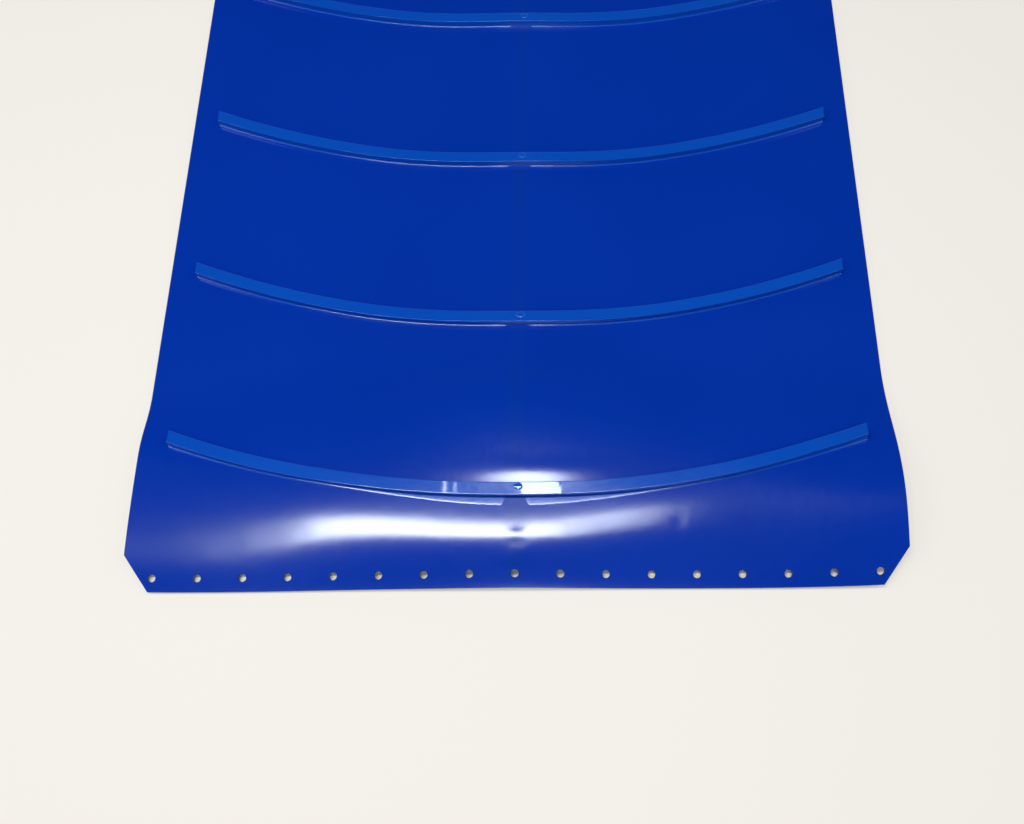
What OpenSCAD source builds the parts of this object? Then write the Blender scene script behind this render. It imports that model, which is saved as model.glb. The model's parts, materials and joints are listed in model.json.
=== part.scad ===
// Cleated conveyor belt, one open length lying flat.
// A flat thermoplastic sheet carries a row of low arched cleats, each welded on as two halves,
// and a notched V-guide under its centre line. Both ends are punched and chamfered for joining.
// Distances along the belt are measured from the front end edge. The running side faces down.

/* [Belt sheet] */
// Width of the belt
belt_w = 600; // [300:10:700]
// Thickness of the sheet
sheet_t = 3; // [2:0.5:5]
// Number of cleats, which is also the length in cleat pitches
cleat_count = 8; // [3:1:12]
// Distance from one cleat to the next
cleat_pitch = 160; // [150:5:240]
// Length of the chamfer at each corner, along the belt
chamfer_len = 28; // [10:1:40]
// Width of the chamfer at each corner, across the belt
chamfer_w = 20; // [5:1:22]

/* [Cleats] */
// Distance from the front end edge to the crown of the first cleat
first_crown = 70; // [60:1:84]
// How far the tips of a cleat trail behind its crown
arch_rise = 52; // [20:0.5:60]
// Bare margin from the tip of a cleat to the side of the belt
tip_margin = 23; // [0:1:60]
// Width of the cleat strip
cleat_w = 10; // [6:0.5:16]
// Height of the cleat strip
cleat_h = 7; // [4:0.5:20]
// Radius along the two top edges of the strip
arris_r = 1; // [0.5:0.1:2.5]
// Radius of the weld bead along the foot
bead_r = 1.6; // [0.8:0.1:2.4]
// Bare stretch of the foot, each side of the butt weld at the crown
bead_break = 9; // [3:1:25]

/* [Joining holes] */
// Holes in each end row
hole_count = 17; // [3:2:21]
// Diameter of a joining hole
hole_d = 6; // [3:0.5:9]
// Distance from the end edge to the hole centres
hole_inset = 10.5; // [6:0.5:14]
// Distance from the side of the belt to the first hole
hole_side = 22.5; // [18:0.5:60]

/* [V-guide] */
// Width of the guide where it is welded on
guide_w = 10; // [8:1:22]
// Height of the guide
guide_h = 6; // [4:0.5:12]
// Slope of each flank of the guide
guide_flank = 20; // [5:1:25]
// Distance between the notches that let the guide flex
notch_pitch = 20; // [16:4:40]
// Height of guide left whole above a notch
notch_land = 2.5; // [1.5:0.5:3.5]

/* [Bending] */
// Largest bend at one bending line with the cleats outside
bend_out = 44; // [10:1:45]
// Largest bend at one bending line with the cleats inside
bend_in = 30; // [10:1:45]
// Running clearance in a bending line
bend_gap = 0.15; // [0.1:0.05:0.4]
// Distance from the chamfers at an end to the nearest bending line or guide end
tab_margin = 3; // [2:0.5:12]

/* [Hidden] */
belt_len = cleat_count * cleat_pitch;
tab_len = chamfer_len + tab_margin;
sheet_z = guide_h;
top_z = sheet_z + sheet_t;
axis_z = sheet_z + sheet_t / 2;

arch_half = belt_w / 2 - tip_margin;
arch_r = (arch_half * arch_half + arch_rise * arch_rise) / (2 * arch_rise);
arch_angle = asin(arch_half / (arch_r - cleat_w)) + 1;

hole_pitch = (belt_w - 2 * hole_side) / (hole_count - 1);

// Distance from a bending line to the lips of the sheet behind it
lip_top = sheet_t / 2 * tan(bend_in) + bend_gap;
lip_bottom = sheet_t / 2 * tan(bend_out) + bend_gap;
notch_half_angle = bend_out / 2 + 1;

sheet_blue = [0.01, 0.20, 0.61];
cleat_blue = [0.03, 0.31, 0.74];
guide_blue = [0.02, 0.24, 0.66];

SECTIONS = [for (k = [1 : cleat_count]) k];

// Where bending line k crosses the belt. Section k lies between lines k and k + 1.
function bend_line(k) = tab_len + (k - 1) * cleat_pitch;
function crown(k) = first_crown + (k - 1) * cleat_pitch;
function section_start(k) = bend_line(k);
function section_end(k) = k == cleat_count ? belt_len : bend_line(k + 1);

// Turns distances along the belt into the part's frame, which is centred on the belt
module along_belt() translate([0, -belt_len / 2, 0]) children();

// Extrudes a side profile, drawn as (distance along the belt, height), across the belt
module across(width) {
    translate([-width / 2, 0, 0])
        rotate([90, 0, 90])
            linear_extrude(height = width) children();
}

// Plan of the whole sheet with its four chamfered corners
module sheet_plan() {
    half = belt_w / 2;
    polygon([
        [-half + chamfer_w, 0], [half - chamfer_w, 0],
        [half, chamfer_len], [half, belt_len - chamfer_len],
        [half - chamfer_w, belt_len], [-half + chamfer_w, belt_len],
        [-half, belt_len - chamfer_len], [-half, chamfer_len]
    ]);
}

module hole_row(s) {
    for (i = [0 : hole_count - 1])
        translate([(i - (hole_count - 1) / 2) * hole_pitch, s, sheet_z - 1])
            cylinder(h = sheet_t + 2, d = hole_d, $fn = 48);
}

// Side profile of one stretch of sheet. Its far edge is a half-round nose on the bending line,
// and its near edge stops at two lips with a shallow cove, in which the nose before it turns.
module sheet_profile(s0, s1, cove, nose) {
    near_top = cove ? s0 + lip_top : s0;
    near_bottom = cove ? s0 + lip_bottom : s0;
    difference() {
        polygon([[near_bottom, sheet_z], [s1, sheet_z], [s1, top_z], [near_top, top_z]]);
        if (cove)
            translate([s0, axis_z]) circle(r = sheet_t / 2 + bend_gap, $fn = 64);
    }
    if (nose)
        translate([s1, axis_z]) circle(r = sheet_t / 2, $fn = 64);
}

module sheet_stretch(s0, s1, cove, nose) {
    difference() {
        intersection() {
            across(belt_w) sheet_profile(s0, s1, cove, nose);
            translate([0, 0, sheet_z - 1])
                linear_extrude(height = sheet_t + 2) sheet_plan();
        }
        children();
    }
}

// The free end in front of the first bending line: a chamfered tab with the first hole row
module front_tab() {
    color(sheet_blue) along_belt()
        sheet_stretch(0, tab_len, false, true) hole_row(hole_inset);
}

module sheet_section(k) {
    last = k == cleat_count;
    color(sheet_blue) along_belt()
        sheet_stretch(section_start(k), section_end(k), true, !last)
            if (last) hole_row(belt_len - hole_inset);
}

// Cross-section of the cleat strip, standing on the sheet with its middle at zero.
// Its rounded edges are drawn with a few flats, as an extruded strip has them.
module cleat_profile() {
    translate([-cleat_w / 2, 0]) square([cleat_w, cleat_h - arris_r]);
    translate([-cleat_w / 2 + arris_r, 0]) square([cleat_w - 2 * arris_r, cleat_h]);
    for (side = [-1, 1])
        translate([side * (cleat_w / 2 - arris_r), cleat_h - arris_r])
            circle(r = arris_r, $fn = 12);
}

// Weld bead along both sides of the foot: a low round back, flat where it meets the sheet
module bead_profile() {
    intersection() {
        for (side = [-1, 1])
            translate([side * cleat_w / 2, -bead_r / 3]) circle(r = bead_r, $fn = 12);
        translate([-cleat_w, 0]) square([2 * cleat_w, bead_r]);
    }
}

// One half of a cleat: an arc trimmed square at the crown on the centre line and at its tip.
// The side is 1 for the right half and -1 for the left.
module cleat_half(side) {
    bead_from = asin(bead_break / arch_r);
    intersection() {
        translate([0, arch_r, 0]) {
            arc_sweep(side, -1, arch_angle) cleat_profile();
            arc_sweep(side, bead_from, arch_angle) bead_profile();
        }
        translate([side > 0 ? 0 : -arch_half, -arch_rise, -1])
            cube([arch_half, 3 * arch_rise, cleat_h + 2]);
    }
}

// Sweeps a profile round the cleat's arc between two angles from its crown
module arc_sweep(side, from, to) {
    rotate_extrude(angle = side * (to - from), start = side * from - 90, $fn = 360)
        translate([arch_r, 0]) children();
}

module cleat_left(k) {
    color(cleat_blue) along_belt() translate([0, crown(k), top_z]) cleat_half(-1);
}

module cleat_right(k) {
    color(cleat_blue) along_belt() translate([0, crown(k), top_z]) cleat_half(1);
}

// A V-shaped cut across the guide, widening downwards from its root
module notch(s, root_z) {
    half = (root_z + 1) * tan(notch_half_angle);
    across(2 * guide_w) polygon([[s, root_z], [s - half, -1], [s + half, -1]]);
}

module guide_section(k) {
    s0 = section_start(k);
    s1 = k == cleat_count ? belt_len - tab_len : section_end(k);
    toe_w = guide_w - 2 * guide_h * tan(guide_flank);
    notch_root = guide_h - notch_land;
    color(guide_blue) along_belt()
        difference() {
            translate([0, s1, 0]) rotate([90, 0, 0])
                linear_extrude(height = s1 - s0)
                    polygon([
                        [-toe_w / 2, 0], [toe_w / 2, 0],
                        [guide_w / 2, guide_h], [-guide_w / 2, guide_h]
                    ]);
            notch(s0, axis_z);
            if (k < cleat_count)
                notch(s1, axis_z);
            for (s = [s0 + notch_pitch : notch_pitch : s1 - notch_pitch / 2])
                notch(s, notch_root);
        }
}

front_tab();
for (k = SECTIONS) {
    sheet_section(k);
    cleat_left(k);
    cleat_right(k);
    guide_section(k);
}
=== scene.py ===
"""A cleated conveyor belt, lying open on a table with its punched end towards the viewer."""
import json
import math

import bpy
import numpy as np
from mathutils import Matrix, Vector, noise


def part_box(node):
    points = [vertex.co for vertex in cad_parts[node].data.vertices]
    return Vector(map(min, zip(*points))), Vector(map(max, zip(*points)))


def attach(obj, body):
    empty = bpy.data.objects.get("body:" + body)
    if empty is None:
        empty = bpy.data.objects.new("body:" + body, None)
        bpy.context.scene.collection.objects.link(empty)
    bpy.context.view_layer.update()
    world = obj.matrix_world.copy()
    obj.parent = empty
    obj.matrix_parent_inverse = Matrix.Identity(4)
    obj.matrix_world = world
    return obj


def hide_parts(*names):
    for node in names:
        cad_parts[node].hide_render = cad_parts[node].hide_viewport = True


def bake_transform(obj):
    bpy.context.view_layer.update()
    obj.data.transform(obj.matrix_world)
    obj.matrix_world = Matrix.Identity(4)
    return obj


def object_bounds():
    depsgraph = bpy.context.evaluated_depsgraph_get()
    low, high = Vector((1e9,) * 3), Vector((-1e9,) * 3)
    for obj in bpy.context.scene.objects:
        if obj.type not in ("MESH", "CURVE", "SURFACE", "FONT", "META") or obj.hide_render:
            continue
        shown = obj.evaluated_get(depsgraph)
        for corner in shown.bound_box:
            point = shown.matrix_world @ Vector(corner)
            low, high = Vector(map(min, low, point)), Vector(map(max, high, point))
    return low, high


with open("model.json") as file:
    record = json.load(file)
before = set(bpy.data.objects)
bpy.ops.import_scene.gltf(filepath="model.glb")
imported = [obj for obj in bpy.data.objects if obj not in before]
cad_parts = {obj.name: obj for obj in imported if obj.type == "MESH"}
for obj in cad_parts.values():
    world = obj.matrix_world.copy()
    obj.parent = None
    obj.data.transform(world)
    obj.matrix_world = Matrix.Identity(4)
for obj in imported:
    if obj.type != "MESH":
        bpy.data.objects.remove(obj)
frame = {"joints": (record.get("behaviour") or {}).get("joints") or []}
cad_low, cad_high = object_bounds()
mm = 0.001

# ---- Sheet ------------------------------------------------------------------------------------
# One homogeneous blue thermoplastic sheet, extruded and cut to width. It lies on its guide: the
# sides sag down to the table, and the front end keeps a low hump from the roll it was stored in.
# It is drawn as stretches that meet between two bending lines, each holding one.
tab_low, tab_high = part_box("front_tab")
sheet_t = tab_high.z - tab_low.z
guide_h = tab_low.z
half_w = tab_high.x
front_y = cad_low.y
belt_len = cad_high.y - cad_low.y
bend_lines = [joint["pos_m"][1] - front_y for joint in frame["joints"]]
cleat_pitch = bend_lines[1] - bend_lines[0]

ridge_half = 154 * mm       # half width of the ridge that the guide raises
ridge_fade = 42 * mm        # the ridge sinks over this length towards a belt end
ridge_at_end = 0.8          # share of the ridge left at the very end

# The hump, given at even steps from the left side to the right
crest_height = (9.4 * mm, 10.8 * mm, 13.9 * mm, 14.5 * mm, 21.1 * mm)
crest_place = (107 * mm, 113 * mm, 141 * mm, 116 * mm, 77 * mm)
hump_near = (-6 * mm, -58 * mm, -70 * mm)
hump_far = (166 * mm, 213 * mm, 188 * mm)
hump_rise = (0.45, 1.4, 1.4)    # power of its rise from the front: steep at once, or late
soft_start = 0.12           # share of the way to the crest over which the rise sets in

# Swells and dents: place across and along, reach across and along, height
swells = [
    (14 * mm, 91.5 * mm, 50 * mm, 9.5 * mm, 0.42 * mm),     # behind the first cleat's crown
    (-4 * mm, 40 * mm, 150 * mm, 28 * mm, 2.0 * mm),        # the middle of the punched end
    (-105 * mm, 57 * mm, 80 * mm, 60 * mm, 4.0 * mm),       # under the first cleat, left of the middle
    (115 * mm, 59 * mm, 73 * mm, 36 * mm, 2.9 * mm),        # and right of it
    (0, -8 * mm, 2000 * mm, 20 * mm, -1.5 * mm),            # the cut edge itself, which turns down
    (2 * mm, 26 * mm, 9 * mm, 9 * mm, 0.42 * mm),           # the guide's cut end showing through
    (1 * mm, 39.5 * mm, 7 * mm, 4.5 * mm, 0.25 * mm),       # and the mark of its weld
    (126 * mm, 50 * mm, 5 * mm, 5 * mm, -0.10 * mm),        # a small dent
]


def across(values, x):
    """Runs smoothly over the belt's width through values at even steps from left to right."""
    places = np.linspace(-1, 1, len(values))
    return np.polyval(np.polyfit(places, values, len(values) - 1), x / half_w)


def ease(t):
    """Goes from 0 to 1 with a soft start and a soft end."""
    t = np.clip(t, 0, 1)
    return t * t * (3 - 2 * t)


def lift(x, s):
    """Height of the sheet's top face over the table, s being the distance from the front edge."""
    t = np.clip(np.abs(x) / ridge_half, 0, 1)
    ridge = (1 - t) ** 3 * (1 + 3 * t)
    from_end = np.minimum(s, belt_len - s)
    ridge = ridge * guide_h * (ridge_at_end + (1 - ridge_at_end) * ease(from_end / ridge_fade))
    crest, near, far = across(crest_place, x), across(hump_near, x), across(hump_far, x)
    start = (s - near) / (crest - near)
    rise = np.clip((start + np.sqrt(start ** 2 + soft_start ** 2)) / 2, 0, 1) ** across(hump_rise, x)
    fall = np.clip((far - s) / (far - crest), 0, 1)
    hump = (0.5 - 0.5 * np.cos(np.pi * rise)) * (0.5 - 0.5 * np.cos(np.pi * fall))
    height = sheet_t + ridge + across(crest_height, x) * hump
    for place_x, place_s, reach_x, reach_s, swell in swells:
        away = ((x - place_x) / reach_x) ** 2 + ((s - place_s) / reach_s) ** 2
        height = height + swell * np.exp(-away)
    return height


# How far each point is drawn in towards the far end, summed up from the flat part to the front
# edge. The sheet doesn't stretch, so the slopes of the hump shorten it.
net_columns, net_step = 121, 1 * mm
past_hump = 25 * mm
net_x = np.linspace(-half_w, half_w, net_columns)
net_s = np.arange(0, max(hump_far) + past_hump, net_step)
net_rise = np.diff(lift(net_x[:, None], net_s[None, :]), axis=1)
net_short = np.diff(net_s) - np.sqrt(np.diff(net_s) ** 2 - net_rise ** 2)
net_drawn = np.zeros((len(net_x), len(net_s)))
net_drawn[:, :-1] = np.cumsum(net_short[:, ::-1], axis=1)[:, ::-1]


def drawn_in(x, s):
    """The draw-in at a point, read between the places where it was summed up."""
    i = np.clip((x - net_x[0]) / (net_x[1] - net_x[0]), 0, len(net_x) - 1.001)
    j = np.clip(s / (net_s[1] - net_s[0]), 0, len(net_s) - 1.001)
    i0, j0 = i.astype(int), j.astype(int)
    u, v = i - i0, j - j0
    near = net_drawn[i0, j0] * (1 - u) + net_drawn[i0 + 1, j0] * u
    far = net_drawn[i0, j0 + 1] * (1 - u) + net_drawn[i0 + 1, j0 + 1] * u
    return near * (1 - v) + far * v


def laid(x, s):
    """Where a point of the flat sheet's top face comes to lie."""
    x, s = np.broadcast_arrays(np.asarray(x, float), np.asarray(s, float))
    return np.stack([x, front_y + s + drawn_in(x, s), lift(x, s)], -1)


def facing(x, s):
    """Outward normal of the laid sheet's top face."""
    x, s = np.broadcast_arrays(np.asarray(x, float), np.asarray(s, float))
    near, wide = 0.25 * mm, 5 * mm      # the draw-in is known only from step to step of its net
    slope_x = (lift(x + near, s) - lift(x - near, s)) / (2 * near)
    slope_s = (lift(x, s + near) - lift(x, s - near)) / (2 * near)
    shear = (drawn_in(x + wide, s) - drawn_in(x - wide, s)) / (2 * wide)
    run = np.sqrt(1 - slope_s ** 2)
    n = np.stack([shear * slope_s - slope_x * run, -slope_s, run], -1)
    return n / np.linalg.norm(n, axis=-1, keepdims=True)


hole_count = 17
hole_r = 3 * mm
hole_inset = 10.5 * mm
hole_side = 22.5 * mm
hole_pitch = (2 * half_w - 2 * hole_side) / (hole_count - 1)
chamfer_len = 28 * mm
chamfer_w = 20 * mm
strip_len = 2 * hole_inset  # depth of the strip of cells that the holes sit in
cell_steps = 8              # columns of mesh in the width of one cell
side_steps = 9              # columns in the strip outside the outermost cells
upright_steps = 4           # faces along the border between two cells
hole_rings = (0.0, 0.18, 0.42, 0.7, 1.0)    # mesh rings from a hole out to its cell's outline
same = 1e-6                 # places closer than this count as one
arris = 0.25 * mm           # broken edge of the cut sheet
crisp = math.radians(34)    # faces that meet at more than this keep a sharp edge


def half_width(s):
    """Half the width of the belt, which the chamfers narrow at both ends."""
    from_end = min(s, belt_len - s)
    return half_w - chamfer_w * max(0.0, 1 - from_end / chamfer_len)


def columns(s):
    """Places of the mesh columns across the belt. The outermost ones follow the chamfer."""
    inner = (hole_count - 2) / 2 * hole_pitch
    n = (hole_count - 2) * cell_steps
    middle = [-inner + 2 * inner * i / n for i in range(n + 1)]
    outer = [inner + (half_width(s) - inner) * i / side_steps for i in range(1, side_steps + 1)]
    return [-x for x in reversed(outer)] + middle + outer


class Plan:
    """Points and faces of a stretch of sheet, drawn flat as (across, along)."""

    def __init__(self):
        self.points, self.faces, self.index = [], [], {}

    def point(self, x, s):
        key = (round(x / mm, 3), round(s / mm, 3))
        if key not in self.index:
            self.index[key] = len(self.points)
            self.points.append((x, s))
        return self.index[key]

    def face(self, corners):
        ids = [self.point(x, s) for x, s in corners]
        ids = [v for i, v in enumerate(ids) if v != ids[i - 1]]
        if len(ids) > 2:
            self.faces.append(ids)

    def rows(self, places):
        for s0, s1 in zip(places, places[1:]):
            near, far = columns(s0), columns(s1)
            for i in range(len(near) - 1):
                self.face([(near[i], s0), (near[i + 1], s0), (far[i + 1], s1), (far[i], s1)])

    def hole_cell(self, x, s, outline):
        """Rings of faces from a punched hole out to the outline of its cell."""
        mix = lambda p, q, t: (p[0] + (q[0] - p[0]) * t, p[1] + (q[1] - p[1]) * t)
        circle = []
        for px, ps in outline:
            reach = math.hypot(px - x, ps - s)
            circle.append((x + (px - x) * hole_r / reach, s + (ps - s) * hole_r / reach))
        for inner, outer in zip(hole_rings, hole_rings[1:]):
            for i in range(len(outline)):
                a, b = circle[i - 1], circle[i]
                c, d = outline[i - 1], outline[i]
                self.face([mix(a, c, outer), mix(b, d, outer), mix(b, d, inner), mix(a, c, inner)])

    def hole_row(self, at_back):
        """The strip along a belt end, made of one cell for each hole."""
        edge = belt_len if at_back else 0.0
        inside = edge - strip_len if at_back else strip_len
        s0, s1 = min(edge, inside), max(edge, inside)
        middle = (s0 + s1) / 2
        for i in range(hole_count):
            x = (i - (hole_count - 1) / 2) * hole_pitch
            left, right = x - hole_pitch / 2, x + hole_pitch / 2
            if i == 0:
                left = -half_w
            if i == hole_count - 1:
                right = half_w
            near = [p for p in columns(s0) if left - same <= p <= right + same]
            far = [p for p in columns(s1) if left - same <= p <= right + same]
            ring = [(p, s0) for p in near]
            for j in range(1, upright_steps):
                t = j / upright_steps
                ring.append((near[-1] + (far[-1] - near[-1]) * t, s0 + (s1 - s0) * t))
            ring += [(p, s1) for p in reversed(far)]
            for j in range(1, upright_steps):
                t = j / upright_steps
                ring.append((far[0] + (near[0] - far[0]) * t, s1 - (s1 - s0) * t))
            self.hole_cell(x, middle, ring)


def add_piece(name, verts, faces, materials, crisp_from=crisp):
    """Puts a mesh into the scene, smooth but for its crisp edges."""
    mesh = bpy.data.meshes.new(name)
    mesh.from_pydata(verts, [], faces)
    mesh.shade_smooth()
    mesh.set_sharp_from_angle(angle=crisp_from)
    for material in materials:
        mesh.materials.append(material)
    piece = bpy.data.objects.new(name, mesh)
    bpy.context.scene.collection.objects.link(piece)
    return piece


def sheet_solid(name, plan, seams):
    """Gives a plan its thickness, a broken arris along every cut edge, and plain seams."""
    points = np.array(plan.points)
    edges = {}
    for ids in plan.faces:
        for i, v in enumerate(ids):
            edges.setdefault(frozenset((ids[i - 1], v)), []).append((ids[i - 1], v))
    rim = [pair[0] for pair in edges.values() if len(pair) == 1]
    on_seam = lambda *ids: any(all(abs(points[v][1] - s) < same for v in ids) for s in seams)
    cut = [(a, b) for a, b in rim if not on_seam(a, b)]
    seam = [(a, b) for a, b in rim if on_seam(a, b)]
    inward = {}
    for a, b in cut:
        d = points[b] - points[a]
        d = np.array([-d[1], d[0]]) / np.linalg.norm(d)
        for v in (a, b):
            inward.setdefault(v, []).append(d)
    inset = points.copy()
    for v, normals in inward.items():
        mean = np.mean(normals, axis=0)
        inset[v] += arris * mean / max(0.5, float(mean @ mean))     # further at a corner
        if on_seam(v):
            inset[v][1] = points[v][1]
    top, up = laid(inset[:, 0], inset[:, 1]), facing(inset[:, 0], inset[:, 1])
    count = len(points)
    verts = [top, top - up * sheet_t]
    edge_ids = sorted(inward)
    place = {v: i for i, v in enumerate(edge_ids)}
    out, out_up = laid(*points[edge_ids].T), facing(*points[edge_ids].T)
    verts += [out - out_up * arris, out - out_up * (sheet_t - arris)]
    top_in = lambda v: v
    low_in = lambda v: count + v
    top_out = lambda v: 2 * count + place[v]
    low_out = lambda v: 2 * count + len(edge_ids) + place[v]
    faces = [list(ids) for ids in plan.faces]
    faces += [[low_in(v) for v in reversed(ids)] for ids in plan.faces]
    skin = len(faces)
    for a, b in cut:
        rings = (top_in, top_out, low_out, low_in)
        for upper, lower in zip(rings, rings[1:]):
            faces.append([upper(b), upper(a), lower(a), lower(b)])
    for a, b in seam:
        faces.append([top_in(b), top_in(a), low_in(a), low_in(b)])
    ends = {v for a, b in seam for v in (a, b)} & set(edge_ids)
    for v in ends:
        starts = any(a == v for a, b in cut)
        loop = [top_in(v), top_out(v), low_out(v), low_in(v)]
        faces.append(loop[::-1] if starts else loop)
    piece = add_piece(name, np.concatenate(verts).tolist(), faces, [belt_face, cut_edge])
    mesh = piece.data
    normals = []
    for number, polygon in enumerate(mesh.polygons):
        polygon.material_index = 1 if number >= skin else 0
        for loop in polygon.loop_indices:
            v = mesh.loops[loop].vertex_index
            if number < skin // 2:
                normals.append(up[v])
            elif number < skin:
                normals.append(-up[v - count])
            else:
                normals.append((0, 0, 0))
    mesh.normals_split_custom_set(normals)
    return piece


def add_node(tree, kind, inputs=(), **options):
    """A shader node with some of its options and inputs set."""
    node = tree.nodes.new(kind)
    for option, value in options.items():
        setattr(node, option, value)
    for socket, value in dict(inputs).items():
        node.inputs[socket].default_value = value
    return node


noise_low, noise_high = 0.3, 0.7    # nearly all of a noise texture lies between these


def grain(tree, where, scale, detail, low, high):
    """An uneven value between two others, such as the tone or the gloss of a moulded face."""
    texture = add_node(tree, "ShaderNodeTexNoise", {"Scale": scale, "Detail": detail})
    tree.links.new(where, texture.inputs["Vector"])
    spread = add_node(tree, "ShaderNodeMapRange",
                      {"From Min": noise_low, "From Max": noise_high, "To Min": low, "To Max": high})
    tree.links.new(texture.outputs["Fac"], spread.inputs["Value"])
    return spread.outputs["Result"]


drift_scale, peel_scale = 6, 45     # waves of tone and of peel in a metre
plastic_ior = 1.58
glint_tint = (0.85, 0.93, 1, 1)
centre_shade_core, centre_shade_edge = 4 * mm, 7.5 * mm     # half widths of the painted shade band along the guide's weld line, full and faded out
centre_shade_share = 0.8                    # how much of its tone the painted shade band shows


def plastic(name, dark, light, gloss, fine, fine_depth, drawn=1.0, peel_depth=0.0, centre_shade_tone=None):
    """Extruded or moulded plastic: a faint drift of tone, a gloss that varies from place to place,
    a fine grain that may be drawn out along the belt, and the soft peel of a cooled skin. With a
    tone given for the centre line, the face gets a band of painted shade in it over the guide's weld."""
    material = bpy.data.materials.new(name)
    material.use_nodes = True
    tree = material.node_tree
    link = tree.links.new
    shader = tree.nodes["Principled BSDF"]
    shader.inputs["IOR"].default_value = plastic_ior
    shader.inputs["Specular Tint"].default_value = glint_tint
    where = add_node(tree, "ShaderNodeTexCoord").outputs["Object"]
    stretch = add_node(tree, "ShaderNodeMapping", {"Scale": (1, 1 / drawn, 1)})
    link(where, stretch.inputs["Vector"])
    stretch = stretch.outputs["Vector"]

    tone = add_node(tree, "ShaderNodeMix", {"A": (*dark, 1), "B": (*light, 1)}, data_type="RGBA")
    link(grain(tree, where, drift_scale, 6, 0, 1), tone.inputs["Factor"])
    colour = tone.outputs["Result"]
    # Painted shade: a band of another tone along the centre line, over the guide welded on behind.
    if centre_shade_tone:
        place = add_node(tree, "ShaderNodeSeparateXYZ")
        link(where, place.inputs["Vector"])
        aside = add_node(tree, "ShaderNodeMath", operation="ABSOLUTE")
        link(place.outputs["X"], aside.inputs[0])
        track = add_node(tree, "ShaderNodeMapRange",
                         {"From Min": centre_shade_core, "From Max": centre_shade_edge,
                          "To Min": centre_shade_share, "To Max": 0}, interpolation_type="SMOOTHSTEP")
        link(aside.outputs["Value"], track.inputs["Value"])
        centre_shaded = add_node(tree, "ShaderNodeMix", {"B": (*centre_shade_tone, 1)}, data_type="RGBA")
        link(track.outputs["Result"], centre_shaded.inputs["Factor"])
        link(colour, centre_shaded.inputs["A"])
        colour = centre_shaded.outputs["Result"]
    link(colour, shader.inputs["Base Color"])
    link(grain(tree, stretch, fine * 0.5, 4, *gloss), shader.inputs["Roughness"])

    skin = add_node(tree, "ShaderNodeBump", {"Strength": 1, "Distance": fine_depth})
    link(grain(tree, stretch, fine, 3, 0, 1), skin.inputs["Height"])
    if peel_depth:
        peel = add_node(tree, "ShaderNodeBump", {"Strength": 1, "Distance": peel_depth})
        link(grain(tree, where, peel_scale, 1, 0, 1), peel.inputs["Height"])
        link(peel.outputs["Normal"], skin.inputs["Normal"])
    link(skin.outputs["Normal"], shader.inputs["Normal"])
    return material


# The last tone given to belt_face is painted shade along its centre line, over the guide's weld.
belt_face = plastic("belt_face", (0.0003, 0.0275, 0.325), (0.0006, 0.0305, 0.346), (0.125, 0.15), 900,
                    0.005 * mm, drawn=4, peel_depth=0.018 * mm, centre_shade_tone=(0.0010, 0.0310, 0.314))
cut_edge = plastic("cut_edge", (0.001, 0.012, 0.09), (0.002, 0.020, 0.14), (0.4, 0.6), 1500, 0.03 * mm)

row_step = 5 * mm           # rows of mesh along the belt
hump_step = 2.6 * mm        # and on the stretch with the hump
seam_share = 0.72           # where in a pitch two stretches meet, clear of cleat and bend
seam_places = [line + cleat_pitch * seam_share for line in bend_lines[:-1]]


def steps_between(s0, s1, step):
    """Even places from s0 to s1, as near to a step apart as fits."""
    n = max(1, round((s1 - s0) / step))
    return [s0 + (s1 - s0) * i / n for i in range(n + 1)]


for k, line in enumerate(bend_lines):
    first, last = k == 0, k == len(bend_lines) - 1
    s0 = 0.0 if first else seam_places[k - 1]
    s1 = belt_len if last else seam_places[k]
    plan = Plan()
    if first:
        plan.hole_row(at_back=False)
        plan.rows([strip_len] + steps_between(chamfer_len, s1, hump_step))
    elif last:
        plan.rows(steps_between(s0, belt_len - chamfer_len, row_step) + [belt_len - strip_len])
        plan.hole_row(at_back=True)
    else:
        plan.rows(steps_between(s0, s1, row_step))
    seams = [s for s in (s0, s1) if 0 < s < belt_len]
    stretch = sheet_solid(f"sheet_{k + 1}", plan, seams)
    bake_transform(stretch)
    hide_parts(f"sheet_section_{k + 1}")
    if first:
        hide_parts("front_tab")

# ---- Guide ------------------------------------------------------------------------------------
# A V-shaped guide of the same plastic, welded under the centre line to track the belt in grooved
# pulleys. It is notched from below so that it bends, and stops short of the hole rows.
guide_w = 10 * mm
guide_flank = 20            # degrees from upright
notch_pitch = 20 * mm
notch_land = 2.5 * mm       # what a notch leaves of the guide under the sheet
notch_angle = math.radians(23)
notch_clear = 0.51          # pitches left free between a stretch's last notch and the next line
toe_round, toe_steps = 0.5 * mm, 3
guide_blue = plastic("guide_blue", (0.003, 0.048, 0.38), (0.005, 0.060, 0.42), (0.34, 0.46), 700,
                     0.015 * mm, drawn=8)


def guide_profile(base):
    """Right half of the cross-section from the middle of the base up to the sheet."""
    wide = guide_w / 2 - (guide_h - base) * math.tan(math.radians(guide_flank))
    points = [(0.0, base), (wide - toe_round, base)]
    for i in range(1, toe_steps + 1):
        a = math.radians(-90 + (90 - guide_flank) * i / toe_steps)
        points.append((wide - toe_round + toe_round * math.cos(a),
                       base + toe_round * (1 + math.sin(a))))
    points.append((guide_w / 2, guide_h))
    return points


def guide_base(s, notches):
    """Height of the guide's underside, which each notch raises up to its root."""
    root = guide_h - notch_land
    gap = min(abs(s - n) for n in notches)
    return max(0.0, root - gap / math.tan(notch_angle))


def tube_faces(loops, ring, flip=False):
    """Faces of a closed bar whose corners come as so many loops of so many points each."""
    faces = []
    for i in range(loops - 1):
        for j in range(ring):
            a, b = i * ring + j, i * ring + (j + 1) % ring
            faces.append([a, a + ring, b + ring, b] if flip else [a, b, b + ring, a + ring])
    start = list(range(ring))
    end = [(loops - 1) * ring + j for j in start]
    return faces + ([start, end[::-1]] if flip else [start[::-1], end])


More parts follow.
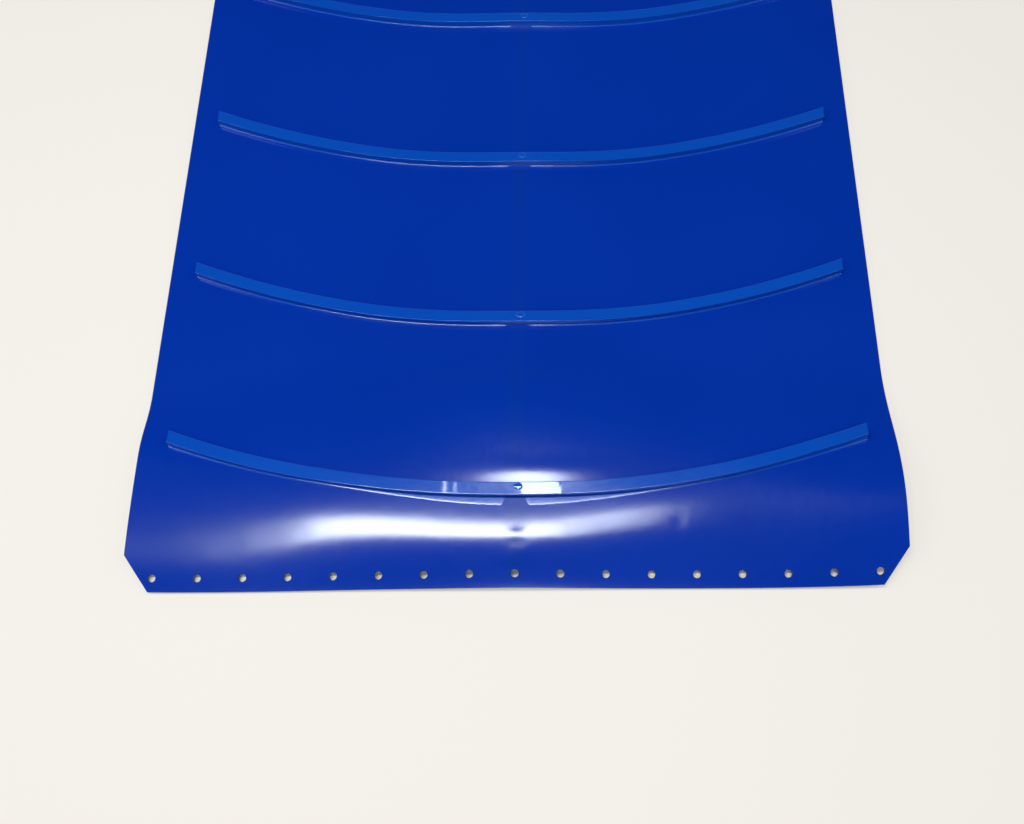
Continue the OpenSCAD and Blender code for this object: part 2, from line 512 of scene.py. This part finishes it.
guide_from, guide_to = bend_lines[0], belt_len - bend_lines[0]
notches = []
for k, line in enumerate(bend_lines):
    end = guide_to if k == len(bend_lines) - 1 else bend_lines[k + 1]
    last_notch = int((end - line) / notch_pitch - notch_clear)
    notches += [line + notch_pitch * i for i in range(last_notch + 1)]
notch_half = (guide_h - notch_land) * math.tan(notch_angle)
for k, line in enumerate(bend_lines):
    first, last = k == 0, k == len(bend_lines) - 1
    s0 = guide_from if first else seam_places[k - 1]
    s1 = guide_to if last else seam_places[k]
    places = {s0, s1}
    for n in notches:
        places |= {n + t * notch_half for t in (-1, -0.5, 0, 0.5, 1)}
        places.add(n + notch_pitch / 2)
    places = sorted(p for p in places if s0 <= p <= s1)
    verts = []
    for s in places:
        half = guide_profile(guide_base(s, notches))
        loop = [(-x, z) for x, z in reversed(half[1:])] + half
        top = laid(np.array([x for x, z in loop]), np.full(len(loop), s))
        up = facing(np.zeros(1), np.full(1, s))[0]
        for (x, z), point in zip(loop, top):
            hang = laid(0.0, s) - up * (sheet_t + guide_h - z)
            verts.append((x, hang[1], hang[2] if z < guide_h else point[2] - sheet_t * up[2]))
    faces = tube_faces(len(places), len(loop))
    guide = add_piece(f"guide_{k + 1}", verts, faces, [guide_blue])
    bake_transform(guide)
    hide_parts(f"guide_section_{k + 1}")

# ---- Cleats -----------------------------------------------------------------------------------
# Low strips of a lighter blue, bent to an arc whose crown points to the front. Each is two strips
# that butt on the centre line, hot-welded down with a bead along both sides of the foot.
cleat_half_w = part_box("cleat_right_1")[1].x
cleat_w = 10 * mm
cleat_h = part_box("cleat_right_1")[1].z - tab_high.z
arch_rise = 52 * mm
arch_r = (cleat_half_w ** 2 + arch_rise ** 2) / (2 * arch_rise)
first_crown = 70 * mm
top_arris, arris_points = 0.35 * mm, 5
rim_w = 0.3 * mm            # flat band behind the arris, which keeps the top's shading flat
foot_deep = 0.1 * mm        # strips and beads go this far into the sheet
bead_r, bead_points = 1.3 * mm, 8
bead_low = 6                # degrees of its round at which a bead leaves the sheet
bead_tall, bead_sinks = 0.72, 1.6   # height as a share of reach, and how fast spreading lowers it
flank_share, flank_gap = 0.8, 0.2 * mm      # the flank's first corner over the bead
bead_break, bead_grows = 9 * mm, 4 * mm     # no bead beside the joint, then one that grows
bead_uneven = 0.12
cleat_blue = plastic("cleat_blue", (0.0012, 0.059, 0.412), (0.0022, 0.068, 0.448), (0.12, 0.18), 800,
                     0.004 * mm, peel_depth=0.015 * mm)
bead_blue = plastic("bead_blue", (0.0010, 0.052, 0.390), (0.0020, 0.062, 0.430), (0.14, 0.18), 800,
                    0.01 * mm)


def cleat_profile(bead, spread):
    """Cross-section as (towards the front, height): the strip and, where bead is 1, its beads.
    The bead at the front is spread wider and flatter than the one behind."""
    half, sides = cleat_w / 2, []
    for wide in (spread, 1):
        reach, power = bead_r * bead, 1 / math.sqrt(wide)
        tall = reach * bead_tall * power ** bead_sinks
        side = [(half + reach * wide, -foot_deep)]
        for i in range(bead_points):
            a = math.radians(bead_low + (90 - bead_low) * i / (bead_points - 1))
            side.append((half + reach * wide * math.cos(a) ** power, tall * math.sin(a) ** power))
        side.append((half, reach * flank_share + flank_gap))
        for i in range(arris_points):
            a = math.radians(90 * i / (arris_points - 1))
            side.append((half - top_arris * (1 - math.cos(a)), cleat_h - top_arris * (1 - math.sin(a))))
        side.append((half - top_arris - rim_w, cleat_h))
        sides.append(side)
    front, back = sides
    return front + [(-d, h) for d, h in reversed(back)]


# Degrees by which a strip's top leans to the front. A strip never seats quite flat, and the first
# cleat's lie over more: the right one beside the joint, the left one where it was held down.
seat_lean, seat_waves = 0.6, 9
lie_from, lie_to, lie_ease, lie_lean = 4 * mm, 36 * mm, 2 * mm, 3.2
held = [(54 * mm, 2.2 * mm, 3.0), (46 * mm, 1.6 * mm, 2.4)]     # place, reach and lean


def strip_lean(k, side, x):
    """How far a strip's top leans to the front at a place along it."""
    lean = seat_lean * noise.noise(Vector((x * seat_waves, k * 3.1 + side, 0.5)))
    if k == 0 and side > 0:
        lean += lie_lean * float(ease((x - lie_from) / lie_ease) * ease((lie_to - x) / lie_ease))
    if k == 0 and side < 0:
        for place, reach, most in held:
            lean += most * math.exp(-((x - place) / reach) ** 2)
    return math.radians(lean)


flatter = 4.5 * mm          # the first cleat was bent to a slightly flatter arc than the rest
wide_bead = 4.4             # and its front bead is spread this much wider at the middle,
wide_reach = 90 * mm        # less and less over this distance
lump_place, lump_reach, lump = 19 * mm, 6 * mm, 0.5     # thick place in the other left beads
stations = [0.0, 0.3 * mm] + steps_between(1 * mm, 60 * mm, 1 * mm)     # closer near the joint
stations += steps_between(63 * mm, cleat_half_w - 1 * mm, 3 * mm) + [cleat_half_w]
for k in range(len(bend_lines)):
    crown = first_crown + k * cleat_pitch
    for side, label in ((-1, "left"), (1, "right")):
        verts = []
        for x in stations:
            bead = float(ease((x - bead_break + bead_grows / 2) / bead_grows))
            bead *= 1 + bead_uneven * noise.noise(Vector((x * 300, k * 7.3 + side, 0)))
            if side < 0 and k > 0:
                bead *= 1 + lump * math.exp(-((x - lump_place) / lump_reach) ** 2)
            spread = 1 + (wide_bead * math.exp(-(x / wide_reach) ** 2) if k == 0 else 0)
            loop = cleat_profile(bead, spread)
            set_back = flatter * (1 - (x / cleat_half_w) ** 2) if k == 0 else 0
            crown_here = crown + set_back
            s = [crown_here + arch_r - math.sqrt((arch_r + d) ** 2 - x * x) for d, h in loop]
            foot = laid(side * x, s)
            s_mid = crown_here + arch_r - math.sqrt(arch_r ** 2 - x * x)
            up = facing(np.full(1, side * x), np.full(1, s_mid))[0]
            slant = math.tan(strip_lean(k, side, x))
            for point, (d, h) in zip(foot, loop):
                h -= d * slant * max(0.0, h) / cleat_h
                verts.append((side * x, point[1] + up[1] * h, point[2] + up[2] * h))
        ring = len(loop)
        faces = tube_faces(len(stations), ring, flip=side < 0)
        strip = add_piece(f"cleat_{label}_{k + 1}_strip", verts, faces, [cleat_blue, bead_blue])
        for i in range(len(stations) - 1):
            for j in range(ring):
                if 0 <= min(j, ring - 2 - j) < bead_points:
                    strip.data.polygons[i * ring + j].material_index = 1
        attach(strip, f"section_{k + 1}")
        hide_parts(f"cleat_{label}_{k + 1}")

# The tip that closes each butt joint leaves a small dome of melted plastic on the strips' tops,
# glossier than the rest.
melt_blue = plastic("melt_blue", (0.0014, 0.068, 0.44), (0.0022, 0.078, 0.48), (0.05, 0.09), 600,
                    0.01 * mm)
dome_w, dome_l, dome_h = 4.2 * mm, 3.0 * mm, 0.45 * mm
dome_right, dome_behind = 2.5 * mm, 1.5 * mm    # where it lies from the middle of the arc's crown
dome_top, saddle, shoulder = 0.8, 0.16, 0.2     # shares of its height in the parts of its form
dome_edge = 0.25 * mm       # its rim goes this far into the strips
dome_uneven = 0.12
dome_crisp = math.radians(60)
rings, turns = 8, 28
for k in range(len(bend_lines)):
    s = first_crown + k * cleat_pitch + dome_behind + (flatter if k == 0 else 0)
    up = facing(np.zeros(1), np.full(1, s))[0]
    aside = np.array([1, 0, 0])
    back = np.cross(up, aside)
    centre = laid(dome_right, s) + up * cleat_h
    verts, faces = [centre + up * dome_h * dome_top], []
    for i in range(1, rings + 1):
        r = i / rings
        for j in range(turns):
            a = math.tau * j / turns
            wobble = noise.noise(Vector((math.cos(a) * 1.4, math.sin(a) * 1.4, k * 2.7)))
            wobble = 1 + dome_uneven * wobble
            form = dome_top + saddle * math.cos(2 * a) * math.sin(math.pi * r)
            form = math.sqrt(max(0.0, 1 - r ** 2)) * form + shoulder * r ** 2 * (1 - r)
            rise = dome_h * form - dome_edge * r ** 8
            verts.append(centre + aside * math.cos(a) * r * dome_w * wobble
                         + back * math.sin(a) * r * dome_l * wobble + up * rise)
    for j in range(turns):
        n = (j + 1) % turns
        faces.append([0, 1 + j, 1 + n])
        for i in range(rings - 1):
            a, b = 1 + i * turns, 1 + (i + 1) * turns
            faces.append([a + j, b + j, b + n, a + n])
    faces.append([1 + (rings - 1) * turns + j for j in reversed(range(turns))])
    melt = add_piece(f"cleat_joint_{k + 1}_melt", [tuple(v) for v in verts], faces, [melt_blue],
                     crisp_from=dome_crisp)
    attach(melt, f"section_{k + 1}")

# ---- Table and light --------------------------------------------------------------------------
# A plain pale table under a dark ceiling, which the glossy sheet mirrors. Light comes from all
# round, low down, from a long narrow lamp overhead, and from softer ones at three sides.
table_tone = (0.86, 0.83, 0.78)
evenness = 0.62             # the camera sees at least this share of the table's tone as even,
near_table, far_table = 1.1, 2.4    # and all of it as even from far_table on
cover_reach = 30 * mm       # but what lies this close above the table takes that share away:
covered, uncovered = 0.2, 0.6       # wholly under covered, not at all over uncovered
table_pale = bpy.data.materials.new("table_pale")
table_pale.use_nodes = True
tree = table_pale.node_tree
link = tree.links.new
surface = tree.nodes["Principled BSDF"]
surface.inputs["Base Color"].default_value = (*table_tone, 1)
surface.inputs["Roughness"].default_value = 0.7
even = add_node(tree, "ShaderNodeEmission", {"Color": (*table_tone, 1)})
ray = add_node(tree, "ShaderNodeLightPath")
reach = add_node(tree, "ShaderNodeVectorMath", operation="LENGTH")
link(add_node(tree, "ShaderNodeTexCoord").outputs["Object"], reach.inputs[0])
far_off = add_node(tree, "ShaderNodeMapRange",
                   {"From Min": near_table, "From Max": far_table, "To Min": evenness},
                   interpolation_type="SMOOTHSTEP")
link(reach.outputs["Value"], far_off.inputs["Value"])
seen = add_node(tree, "ShaderNodeMath", operation="MULTIPLY")
link(ray.outputs["Is Camera Ray"], seen.inputs[0])
link(far_off.outputs["Result"], seen.inputs[1])
cover = add_node(tree, "ShaderNodeAmbientOcclusion", {"Distance": cover_reach}, samples=8)
free = add_node(tree, "ShaderNodeMapRange", {"From Min": covered, "From Max": uncovered},
                interpolation_type="SMOOTHSTEP")
link(cover.outputs["AO"], free.inputs["Value"])
share = add_node(tree, "ShaderNodeMath", operation="MULTIPLY")
link(seen.outputs["Value"], share.inputs[0])
link(free.outputs["Result"], share.inputs[1])
blend = add_node(tree, "ShaderNodeMixShader")
link(share.outputs["Value"], blend.inputs["Fac"])
link(surface.outputs["BSDF"], blend.inputs[1])
link(even.outputs["Emission"], blend.inputs[2])
link(blend.outputs["Shader"], tree.nodes["Material Output"].inputs["Surface"])

table_r, around = 40, 96
table_drop = 0.3 * mm       # keeps the table's top clear of the belt's underside
rim = [(table_r * math.cos(math.tau * i / around), table_r * math.sin(math.tau * i / around), 0)
       for i in range(around)]
faces = [[0, 1 + i, 1 + (i + 1) % around] for i in range(around)]
table = add_piece("table", [(0, 0, 0)] + rim, faces, [table_pale])
table.location.z = -table_drop

# The room is pale up to glow_top above the horizon and dark above dark_from
glow, ceiling = 0.85, 0.008
glow_top, dark_from = math.radians(17), math.radians(25)
world = bpy.data.worlds.new("room")
world.use_nodes = True
bpy.context.scene.world = world
tree = world.node_tree
link = tree.links.new
height = add_node(tree, "ShaderNodeSeparateXYZ")
link(add_node(tree, "ShaderNodeTexCoord").outputs["Generated"], height.inputs["Vector"])
room = add_node(tree, "ShaderNodeMapRange",
                {"From Min": math.sin(glow_top), "From Max": math.sin(dark_from),
                 "To Min": glow, "To Max": ceiling}, interpolation_type="SMOOTHSTEP")
link(height.outputs["Z"], room.inputs["Value"])
backdrop = add_node(tree, "ShaderNodeBackground", {"Color": (*table_tone, 1)})
lit = tree.nodes["Background"]
lit.inputs["Color"].default_value = (1, 0.985, 0.96, 1)
link(room.outputs["Result"], lit.inputs["Strength"])
ray = add_node(tree, "ShaderNodeLightPath")
blend = add_node(tree, "ShaderNodeMixShader")
link(ray.outputs["Is Camera Ray"], blend.inputs["Fac"])
link(lit.outputs["Background"], blend.inputs[1])
link(backdrop.outputs["Background"], blend.inputs[2])
link(blend.outputs["Shader"], tree.nodes["World Output"].inputs["Surface"])


def lamp(name, place, aim, size, power):
    """A soft rectangular lamp that faces the place it is aimed at."""
    light = bpy.data.lights.new(name, "AREA")
    light.shape = "RECTANGLE"
    light.size, light.size_y = size
    light.energy = power
    holder = bpy.data.objects.new(name, light)
    bpy.context.scene.collection.objects.link(holder)
    holder.location = place
    holder.rotation_euler = (Vector(aim) - Vector(place)).to_track_quat("-Z", "Y").to_euler()


over_x, over_y = -0.244, front_y + 0.149    # straight above the place that mirrors the lamp
middle = (0, -0.3, 0)
lamp("overhead", (over_x, over_y, 1.7), (over_x, over_y, 0), (0.96, 0.245), 21)
lamp("left_side", (-1.8, -0.4, 1.9), middle, (1.0, 1.0), 12)
lamp("right_side", (1.8, -0.4, 1.9), middle, (1.0, 1.0), 9.5)
lamp("near_side", (0.1, front_y - 1.1, 1.8), middle, (1.0, 0.45), 8.5)

# ---- Camera -----------------------------------------------------------------------------------
# Held by hand above the punched end, looking down on it and a little to the left of the middle.
eye = (0.0368, front_y - 0.1834, 0.7966)
turned, looks_down, rolled = 0.76, 67.3, -1.0   # degrees
camera_data = bpy.data.cameras.new("camera")
camera_data.lens = 37.16
camera_data.shift_x = -0.0439
camera_data.clip_start = 0.05
camera = bpy.data.objects.new("camera", camera_data)
bpy.context.scene.collection.objects.link(camera)
turn = Matrix.Rotation(math.radians(turned), 4, "Z")
tilt = Matrix.Rotation(math.radians(90 - looks_down), 4, "X")
roll = Matrix.Rotation(math.radians(rolled), 4, "Z")
camera.matrix_world = Matrix.Translation(eye) @ turn @ tilt @ roll
bpy.context.scene.camera = camera
bpy.context.scene.view_settings.view_transform = "Standard"
